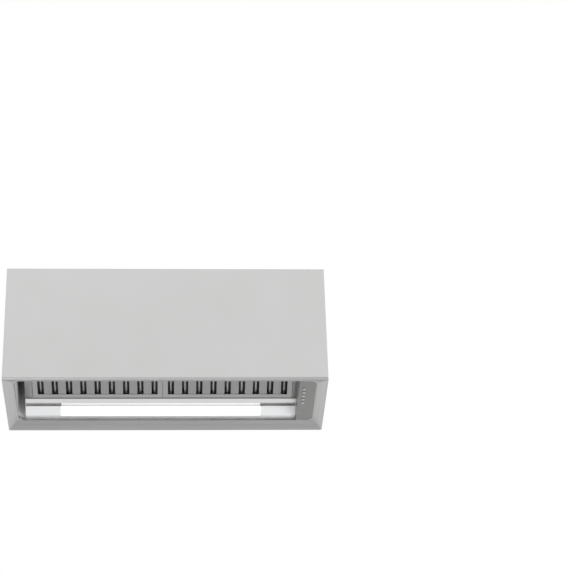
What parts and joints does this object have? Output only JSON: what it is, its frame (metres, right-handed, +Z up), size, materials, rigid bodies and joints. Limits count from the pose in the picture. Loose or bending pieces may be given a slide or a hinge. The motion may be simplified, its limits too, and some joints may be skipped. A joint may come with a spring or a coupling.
{
  "type": "undermount range hood",
  "caption": "Undermount range hood: a plain painted case over a bevelled stainless rim, with sloping baffle filters, a long light and push buttons in the recess.",
  "frame": {"origin": "middle of the footprint, level with the bottom of the steel lip", "axes": "+X to the right seen from the front, +Y towards the wall, +Z up"},
  "size_m": [0.9, 0.3, 0.405],
  "materials": {
    "painted_case": "satin powder coat, light grey",
    "rim_steel": "brushed stainless steel",
    "control_steel": "brushed stainless steel, darker",
    "filter_steel": "brushed stainless steel",
    "wire_steel": "polished stainless wire",
    "galvanised_steel": "galvanised sheet",
    "screw_steel": "zinc-plated steel",
    "opal_acrylic": "opal acrylic",
    "led_chip": "LED chip",
    "circuit_board": "fibreglass board",
    "button_plastic": "metallised plastic",
    "black_plastic": "moulded nylon",
    "terminal_plastic": "moulded plastic",
    "cable_sheath": "cable sheath",
    "gasket_rubber": "foam rubber",
    "magnet": "ferrite"
  },
  "bodies": {
    "hood": {"rim_frame": "rim_steel", "front_panel": "painted_case", "rear_panel": "painted_case", "left_side_panel": "painted_case", "right_side_panel": "painted_case", "top_panel": "painted_case", "corner_posts": "galvanised_steel", "plenum_shelf": "galvanised_steel", "left_liner": "painted_case", "right_liner": "painted_case", "front_liner": "painted_case", "rear_liner": "painted_case", "liner_rivets": "screw_steel", "control_panel": "control_steel", "button_guide": "black_plastic", "control_board": "circuit_board", "button_switches": "black_plastic", "filter_carrier": "rim_steel", "carrier_screws": "screw_steel", "filter_rod": "wire_steel", "filter_magnets": "magnet", "light_housing": "painted_case", "light_end_caps": "painted_case", "light_diffuser": "opal_acrylic", "light_strip": "opal_acrylic", "led_board": "circuit_board", "leds": "led_chip", "grease_channel": "rim_steel", "duct_collar": "galvanised_steel", "collar_gasket": "gasket_rubber", "collar_screws": "screw_steel", "damper_axle": "wire_steel", "power_box": "galvanised_steel", "power_box_lid": "galvanised_steel", "terminal_block": "terminal_plastic", "led_driver": "terminal_plastic", "cable_gland": "black_plastic", "led_cable": "cable_sheath", "control_cable": "cable_sheath", "fixing_plates": "galvanised_steel", "top_screws": "screw_steel"},
    "left_filter": {"left_filter_frame": "filter_steel", "left_lower_baffles": "filter_steel", "left_upper_baffles": "filter_steel", "left_handle_clips": "filter_steel"},
    "left_bail": {"left_handle": "wire_steel"},
    "right_filter": {"right_filter_frame": "filter_steel", "right_lower_baffles": "filter_steel", "right_upper_baffles": "filter_steel", "right_handle_clips": "filter_steel"},
    "right_bail": {"right_handle": "wire_steel"},
    "front_flap": {"front_damper_flap": "galvanised_steel"},
    "rear_flap": {"rear_damper_flap": "galvanised_steel"},
    "off_button": {"off_button": "button_plastic"},
    "low_speed_button": {"low_speed_button": "button_plastic"},
    "medium_speed_button": {"medium_speed_button": "button_plastic"},
    "high_speed_button": {"high_speed_button": "button_plastic"},
    "light_button": {"light_button": "button_plastic"}
  },
  "joints": [
    {"name": "left_filter_hinge", "type": "hinge", "parent": "hood", "child": "left_filter", "pos_m": [-0.19425, 0.0675, 0.07086], "axis": [1, 0, 0], "range_deg": [0, 70]},
    {"name": "left_handle_hinge", "type": "hinge", "parent": "left_filter", "child": "left_bail", "pos_m": [-0.19425, -0.09391, 0.10622], "axis": [1, 0, 0], "range_deg": [-40, 57]},
    {"name": "right_filter_hinge", "type": "hinge", "parent": "hood", "child": "right_filter", "pos_m": [0.17625, 0.0675, 0.07086], "axis": [1, 0, 0], "range_deg": [0, 70]},
    {"name": "right_handle_hinge", "type": "hinge", "parent": "right_filter", "child": "right_bail", "pos_m": [0.17625, -0.09391, 0.10622], "axis": [1, 0, 0], "range_deg": [-40, 57]},
    {"name": "front_flap_hinge", "type": "hinge", "parent": "hood", "child": "front_flap", "pos_m": [0, 0, 0.374], "axis": [-1, 0, 0], "range_deg": [0, 75]},
    {"name": "rear_flap_hinge", "type": "hinge", "parent": "hood", "child": "rear_flap", "pos_m": [0, 0, 0.374], "axis": [1, 0, 0], "range_deg": [0, 75]},
    {"name": "off_button_press", "type": "slide", "parent": "hood", "child": "off_button", "axis": [0, 0, 1], "range_m": [0, 0.0015], "stiffness_N_per_m": 200},
    {"name": "low_speed_button_press", "type": "slide", "parent": "hood", "child": "low_speed_button", "axis": [0, 0, 1], "range_m": [0, 0.0015], "stiffness_N_per_m": 200},
    {"name": "medium_speed_button_press", "type": "slide", "parent": "hood", "child": "medium_speed_button", "axis": [0, 0, 1], "range_m": [0, 0.0015], "stiffness_N_per_m": 200},
    {"name": "high_speed_button_press", "type": "slide", "parent": "hood", "child": "high_speed_button", "axis": [0, 0, 1], "range_m": [0, 0.0015], "stiffness_N_per_m": 200},
    {"name": "light_button_press", "type": "slide", "parent": "hood", "child": "light_button", "axis": [0, 0, 1], "range_m": [0, 0.0015], "stiffness_N_per_m": 200}
  ]
}
